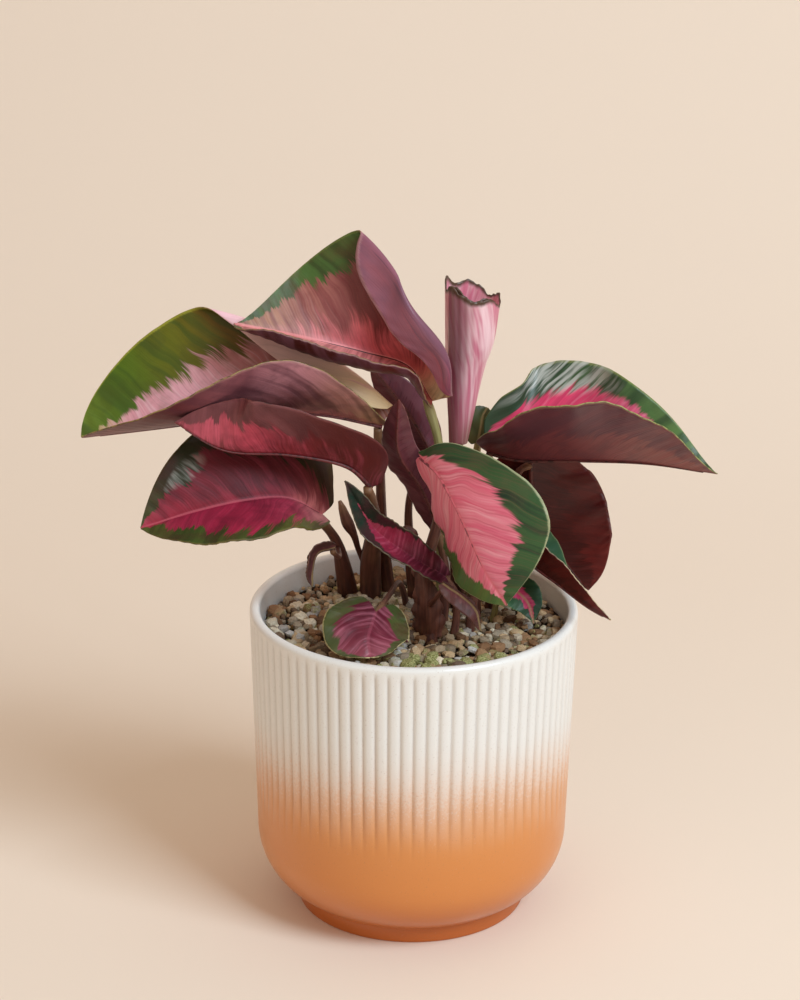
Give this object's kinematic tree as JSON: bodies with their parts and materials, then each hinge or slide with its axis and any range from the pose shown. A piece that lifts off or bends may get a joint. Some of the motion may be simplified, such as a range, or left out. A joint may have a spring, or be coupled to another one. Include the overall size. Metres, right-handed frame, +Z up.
{
  "type": "potted rosy calathea",
  "caption": "Potted prayer plant with patterned green and pink leaves over gravel in a fluted ceramic planter that fades from white to orange.",
  "frame": {"origin": "centre of the flat underside of the pot's foot, on the axis of the pot", "axes": "+Z up along the axis of the pot, -Y to the front, the side the picture shows, and +X to the right seen from the front"},
  "size_m": [0.2642, 0.14, 0.2955],
  "materials": {
    "glaze": "satin glaze, white at the rim, speckled change to orange below",
    "soil": "matte dark potting mix",
    "gravel": "matte mixed tan, grey and brown grit with mossy patches",
    "leaf_blade": "satin leaf, dark green with feathered pink above, maroon below",
    "dry_leaf": "matte withered leaf",
    "new_leaf": "satin pink leaf, still rolled",
    "stalk": "satin brown stalk",
    "pale_stalk": "satin olive stalk"
  },
  "bodies": {
    "root": {"pot": "glaze", "soil": "soil", "gravel": "gravel", "leaf_left_upper": "leaf_blade", "leaf_left_middle": "leaf_blade", "leaf_left_lower": "leaf_blade", "leaf_top": "leaf_blade", "leaf_right": "leaf_blade", "leaf_front": "leaf_blade", "leaf_back_right": "leaf_blade", "leaf_lower_right": "leaf_blade", "leaf_small_right": "leaf_blade", "leaf_small_front": "leaf_blade", "leaf_centre_furled": "leaf_blade", "leaf_centre_upright": "leaf_blade", "leaf_behind_top": "leaf_blade", "leaf_behind_roll": "leaf_blade", "leaf_droop_front": "dry_leaf", "leaf_droop_left": "dry_leaf", "leaf_rolled": "new_leaf", "stalk_top": "pale_stalk", "stalk_small_right": "pale_stalk", "stalk_behind_roll": "pale_stalk", "stalk_left_upper": "stalk", "stalk_left_middle": "stalk", "stalk_left_lower": "stalk", "stalk_rolled": "stalk", "stalk_right": "stalk", "stalk_front": "stalk", "stalk_back_right": "stalk", "stalk_lower_right": "stalk", "stalk_small_front": "stalk", "stalk_centre_furled": "stalk", "stalk_centre_upright": "stalk", "stalk_behind_top": "stalk"}
  },
  "joints": []
}
